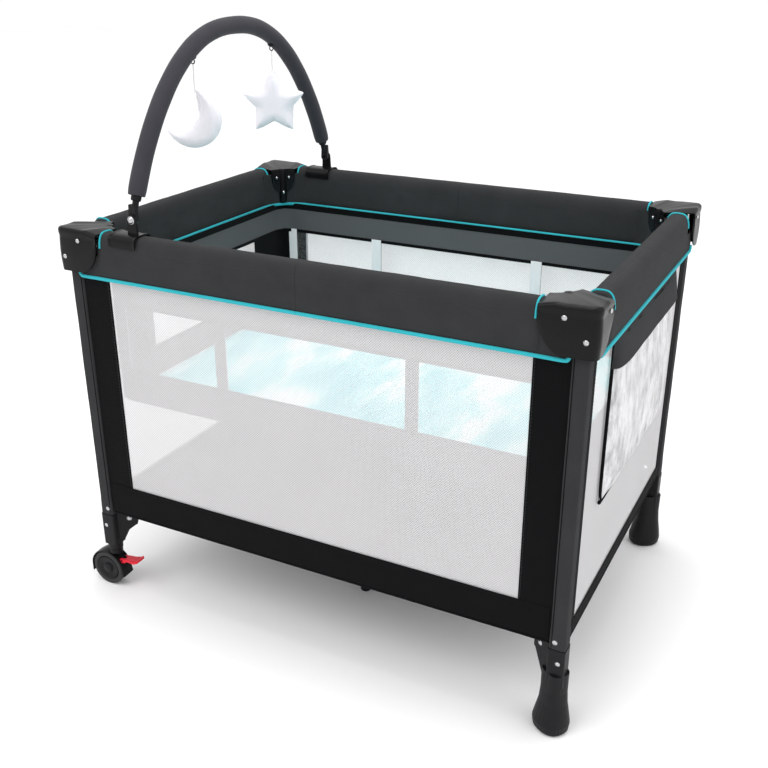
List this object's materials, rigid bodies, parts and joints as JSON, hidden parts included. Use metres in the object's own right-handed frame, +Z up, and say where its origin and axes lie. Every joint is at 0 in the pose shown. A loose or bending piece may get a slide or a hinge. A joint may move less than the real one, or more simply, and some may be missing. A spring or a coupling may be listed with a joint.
{
  "type": "travel play yard",
  "caption": "Folding rectangular play yard with mesh walls, padded hinged rails, a hung bassinet, two casters, two moulded feet and an arched toy bar.",
  "frame": {"origin": "on the floor under the middle of the bounding box", "axes": "+X along the long sides from the caster end to the foot end, +Y across from front to back, +Z up"},
  "size_m": [1.067, 0.7446, 1.1407],
  "materials": {
    "black_plastic": "moulded, low gloss",
    "charcoal_fabric": "woven polyester",
    "light_mesh": "open knitted mesh",
    "steel": "satin",
    "red_plastic": "moulded",
    "rubber": "matte",
    "print_fabric": "printed cotton",
    "plush": "short plush",
    "foam": "foam sleeve"
  },
  "bodies": {
    "post_fl": {"post_fl": "steel", "corner_cap_fl": "black_plastic", "caster_bracket_fl": "black_plastic", "fabric_enclosure": "light_mesh"},
    "base_tube_fl": {"base_tube_fl": "steel"},
    "hub": {"hub": "black_plastic", "hub_leg_front": "black_plastic", "hub_leg_back": "black_plastic", "pull_strap": "charcoal_fabric"},
    "base_tube_fr": {"base_tube_fr": "steel"},
    "base_tube_bl": {"base_tube_bl": "steel"},
    "base_tube_br": {"base_tube_br": "steel"},
    "post_fr": {"post_fr": "steel", "corner_cap_fr": "black_plastic", "foot_fr": "black_plastic", "pouch": "charcoal_fabric"},
    "post_bl": {"post_bl": "steel", "corner_cap_bl": "black_plastic", "caster_bracket_bl": "black_plastic"},
    "post_br": {"post_br": "steel", "corner_cap_br": "black_plastic", "foot_br": "black_plastic"},
    "rail_front_a": {"rail_front_a": "steel", "rail_pad_front_a": "charcoal_fabric"},
    "rail_front_b": {"rail_front_b": "steel", "rail_pad_front_b": "charcoal_fabric"},
    "rail_lock_front": {"rail_lock_front": "black_plastic"},
    "rail_button_front": {"rail_button_front": "black_plastic"},
    "rail_back_a": {"rail_back_a": "steel", "rail_pad_back_a": "charcoal_fabric"},
    "rail_back_b": {"rail_back_b": "steel", "rail_pad_back_b": "charcoal_fabric"},
    "rail_lock_back": {"rail_lock_back": "black_plastic"},
    "rail_button_back": {"rail_button_back": "black_plastic"},
    "rail_left_a": {"rail_left_a": "steel", "rail_pad_left_a": "charcoal_fabric"},
    "rail_left_b": {"rail_left_b": "steel", "rail_pad_left_b": "charcoal_fabric"},
    "rail_lock_left": {"rail_lock_left": "black_plastic"},
    "rail_button_left": {"rail_button_left": "black_plastic"},
    "rail_right_a": {"rail_right_a": "steel", "rail_pad_right_a": "charcoal_fabric"},
    "rail_right_b": {"rail_right_b": "steel", "rail_pad_right_b": "charcoal_fabric"},
    "rail_lock_right": {"rail_lock_right": "black_plastic"},
    "rail_button_right": {"rail_button_right": "black_plastic"},
    "bassinet": {"bassinet_tub": "charcoal_fabric", "mattress": "print_fabric"},
    "toy_bar": {"toy_clamp_front": "black_plastic", "toy_clamp_back": "black_plastic"},
    "toy_arch": {"toy_arch": "black_plastic", "toy_foam": "foam"},
    "toy_moon": {"toy_moon": "plush"},
    "toy_star": {"toy_star": "plush"},
    "caster_swivel_fl": {"caster_hood_fl": "black_plastic"},
    "caster_wheels_fl": {"caster_wheels_fl": "rubber"},
    "brake_lever_fl": {"brake_lever_fl": "red_plastic"},
    "caster_swivel_bl": {"caster_hood_bl": "black_plastic"},
    "caster_wheels_bl": {"caster_wheels_bl": "rubber"},
    "brake_lever_bl": {"brake_lever_bl": "red_plastic"}
  },
  "joints": [
    {"name": "fold", "type": "hinge", "parent": "post_fl", "child": "base_tube_fl", "pos_m": [-0.44554, -0.32305, 0.163], "axis": [0.5543, -0.8323, 0], "range_deg": [0, 80], "deforming": ["fabric_enclosure", "pouch", "bassinet_tub"]},
    {"name": "fold_hub", "type": "hinge", "parent": "base_tube_fl", "child": "hub", "pos_m": [-0.01154, -0.03405, 0.163], "axis": [0.5543, -0.8323, 0], "range_deg": [-80, 0]},
    {"name": "fold_tube_fr", "type": "hinge", "parent": "hub", "child": "base_tube_fr", "pos_m": [0.03654, -0.03405, 0.163], "axis": [0.5543, 0.8323, 0], "range_deg": [0, 80]},
    {"name": "fold_post_fr", "type": "hinge", "parent": "base_tube_fr", "child": "post_fr", "pos_m": [0.47054, -0.32305, 0.163], "axis": [0.5543, 0.8323, 0], "range_deg": [-80, 0]},
    {"name": "fold_tube_bl", "type": "hinge", "parent": "hub", "child": "base_tube_bl", "pos_m": [-0.01154, 0.03405, 0.163], "axis": [-0.5543, -0.8323, 0], "range_deg": [0, 80]},
    {"name": "fold_post_bl", "type": "hinge", "parent": "base_tube_bl", "child": "post_bl", "pos_m": [-0.44554, 0.32305, 0.163], "axis": [-0.5543, -0.8323, 0], "range_deg": [-80, 0]},
    {"name": "fold_tube_br", "type": "hinge", "parent": "hub", "child": "base_tube_br", "pos_m": [0.03654, 0.03405, 0.163], "axis": [-0.5543, 0.8323, 0], "range_deg": [0, 80]},
    {"name": "fold_post_br", "type": "hinge", "parent": "base_tube_br", "child": "post_br", "pos_m": [0.47054, 0.32305, 0.163], "axis": [-0.5543, 0.8323, 0], "range_deg": [-80, 0]},
    {"name": "fold_rail_front_a", "type": "hinge", "parent": "post_fl", "child": "rail_front_a", "pos_m": [-0.4435, -0.343, 0.763], "axis": [0, 1, 0], "range_deg": [0, 80], "deforming": ["rail_pad_front_a"]},
    {"name": "fold_rail_lock_front", "type": "hinge", "parent": "rail_front_a", "child": "rail_lock_front", "pos_m": [-0.0095, -0.343, 0.763], "axis": [0, 1, 0], "range_deg": [-80, 0]},
    {"name": "fold_rail_front_b", "type": "hinge", "parent": "rail_lock_front", "child": "rail_front_b", "pos_m": [0.0345, -0.343, 0.763], "axis": [0, -1, 0], "range_deg": [0, 80], "deforming": ["rail_pad_front_b"]},
    {"name": "fold_rail_back_a", "type": "hinge", "parent": "post_bl", "child": "rail_back_a", "pos_m": [-0.4435, 0.343, 0.763], "axis": [0, 1, 0], "range_deg": [0, 80], "deforming": ["rail_pad_back_a"]},
    {"name": "fold_rail_lock_back", "type": "hinge", "parent": "rail_back_a", "child": "rail_lock_back", "pos_m": [-0.0095, 0.343, 0.763], "axis": [0, 1, 0], "range_deg": [-80, 0]},
    {"name": "fold_rail_back_b", "type": "hinge", "parent": "rail_lock_back", "child": "rail_back_b", "pos_m": [0.0345, 0.343, 0.763], "axis": [0, -1, 0], "range_deg": [0, 80], "deforming": ["rail_pad_back_b"]},
    {"name": "fold_rail_left_a", "type": "hinge", "parent": "post_fl", "child": "rail_left_a", "pos_m": [-0.4755, -0.311, 0.763], "axis": [-1, 0, 0], "range_deg": [0, 80], "deforming": ["rail_pad_left_a"]},
    {"name": "fold_rail_lock_left", "type": "hinge", "parent": "rail_left_a", "child": "rail_lock_left", "pos_m": [-0.4755, -0.022, 0.763], "axis": [-1, 0, 0], "range_deg": [-80, 0]},
    {"name": "fold_rail_left_b", "type": "hinge", "parent": "rail_lock_left", "child": "rail_left_b", "pos_m": [-0.4755, 0.022, 0.763], "axis": [1, 0, 0], "range_deg": [0, 80], "deforming": ["rail_pad_left_b"]},
    {"name": "fold_rail_right_a", "type": "hinge", "parent": "post_fr", "child": "rail_right_a", "pos_m": [0.5005, -0.311, 0.763], "axis": [-1, 0, 0], "range_deg": [0, 80], "deforming": ["rail_pad_right_a"]},
    {"name": "fold_rail_lock_right", "type": "hinge", "parent": "rail_right_a", "child": "rail_lock_right", "pos_m": [0.5005, -0.022, 0.763], "axis": [-1, 0, 0], "range_deg": [-80, 0]},
    {"name": "fold_rail_right_b", "type": "hinge", "parent": "rail_lock_right", "child": "rail_right_b", "pos_m": [0.5005, 0.022, 0.763], "axis": [1, 0, 0], "range_deg": [0, 80], "deforming": ["rail_pad_right_b"]},
    {"name": "press_button_front", "type": "slide", "parent": "rail_lock_front", "child": "rail_button_front", "axis": [0, 0, 1], "range_m": [0, 0.004], "stiffness_N_per_m": 250, "springref_m": -0.001},
    {"name": "press_button_back", "type": "slide", "parent": "rail_lock_back", "child": "rail_button_back", "axis": [0, 0, 1], "range_m": [0, 0.004], "stiffness_N_per_m": 250, "springref_m": -0.001},
    {"name": "press_button_left", "type": "slide", "parent": "rail_lock_left", "child": "rail_button_left", "axis": [0, 0, 1], "range_m": [0, 0.004], "stiffness_N_per_m": 250, "springref_m": -0.001},
    {"name": "press_button_right", "type": "slide", "parent": "rail_lock_right", "child": "rail_button_right", "axis": [0, 0, 1], "range_m": [0, 0.004], "stiffness_N_per_m": 250, "springref_m": -0.001},
    {"name": "lift_bassinet", "type": "slide", "parent": "hub", "child": "bassinet", "axis": [0, 0, 1], "range_m": [0, 0.6982]},
    {"name": "lift_toy_bar", "type": "slide", "parent": "hub", "child": "toy_bar", "axis": [0, 0, 1], "range_m": [0, 0.6982]},
    {"name": "tilt_toy_arch", "type": "hinge", "parent": "toy_bar", "child": "toy_arch", "pos_m": [-0.3375, 0, 0.815], "axis": [0, 1, 0], "range_deg": [-60, 60]},
    {"name": "swing_toy_moon", "type": "hinge", "parent": "toy_arch", "child": "toy_moon", "pos_m": [-0.3375, -0.13711, 1.09363], "axis": [0, 1, 0], "range_deg": [-60, 60]},
    {"name": "swing_toy_star", "type": "hinge", "parent": "toy_arch", "child": "toy_star", "pos_m": [-0.3375, 0.13037, 1.09714], "axis": [0, 1, 0], "range_deg": [-60, 60]},
    {"name": "swivel_caster_fl", "type": "hinge", "parent": "post_fl", "child": "caster_swivel_fl", "pos_m": [-0.4755, -0.343, 0.095], "axis": [0, 0, 1], "continuous": true},
    {"name": "roll_wheels_fl", "type": "hinge", "parent": "caster_swivel_fl", "child": "caster_wheels_fl", "pos_m": [-0.4935, -0.343, 0.038], "axis": [0, 1, 0], "continuous": true},
    {"name": "press_brake_fl", "type": "hinge", "parent": "caster_swivel_fl", "child": "brake_lever_fl", "pos_m": [-0.4565, -0.343, 0.064], "axis": [0, 1, 0], "range_deg": [0, 12]},
    {"name": "swivel_caster_bl", "type": "hinge", "parent": "post_bl", "child": "caster_swivel_bl", "pos_m": [-0.4755, 0.343, 0.095], "axis": [0, 0, 1], "continuous": true},
    {"name": "roll_wheels_bl", "type": "hinge", "parent": "caster_swivel_bl", "child": "caster_wheels_bl", "pos_m": [-0.4935, 0.343, 0.038], "axis": [0, 1, 0], "continuous": true},
    {"name": "press_brake_bl", "type": "hinge", "parent": "caster_swivel_bl", "child": "brake_lever_bl", "pos_m": [-0.4565, 0.343, 0.064], "axis": [0, 1, 0], "range_deg": [0, 12]}
  ],
  "couplings": [
    {"joint": "fold_hub", "follows": "fold", "ratio": -1},
    {"joint": "fold_tube_fr", "follows": "fold", "ratio": 1},
    {"joint": "fold_post_fr", "follows": "fold", "ratio": -1},
    {"joint": "fold_tube_bl", "follows": "fold", "ratio": 1},
    {"joint": "fold_post_bl", "follows": "fold", "ratio": -1},
    {"joint": "fold_tube_br", "follows": "fold", "ratio": 1},
    {"joint": "fold_post_br", "follows": "fold", "ratio": -1},
    {"joint": "fold_rail_front_a", "follows": "fold", "ratio": 1},
    {"joint": "fold_rail_lock_front", "follows": "fold", "ratio": -1},
    {"joint": "fold_rail_front_b", "follows": "fold", "ratio": 1},
    {"joint": "fold_rail_back_a", "follows": "fold", "ratio": 1},
    {"joint": "fold_rail_lock_back", "follows": "fold", "ratio": -1},
    {"joint": "fold_rail_back_b", "follows": "fold", "ratio": 1},
    {"joint": "fold_rail_left_a", "follows": "fold", "ratio": 1},
    {"joint": "fold_rail_lock_left", "follows": "fold", "ratio": -1},
    {"joint": "fold_rail_left_b", "follows": "fold", "ratio": 1},
    {"joint": "fold_rail_right_a", "follows": "fold", "ratio": 1},
    {"joint": "fold_rail_lock_right", "follows": "fold", "ratio": -1},
    {"joint": "fold_rail_right_b", "follows": "fold", "ratio": 1},
    {"joint": "lift_bassinet", "follows": "fold", "m_per_rad": 0.5},
    {"joint": "lift_toy_bar", "follows": "fold", "m_per_rad": 0.5},
    {"joint": "swing_toy_moon", "follows": "tilt_toy_arch", "ratio": -1},
    {"joint": "swing_toy_star", "follows": "tilt_toy_arch", "ratio": -1}
  ]
}
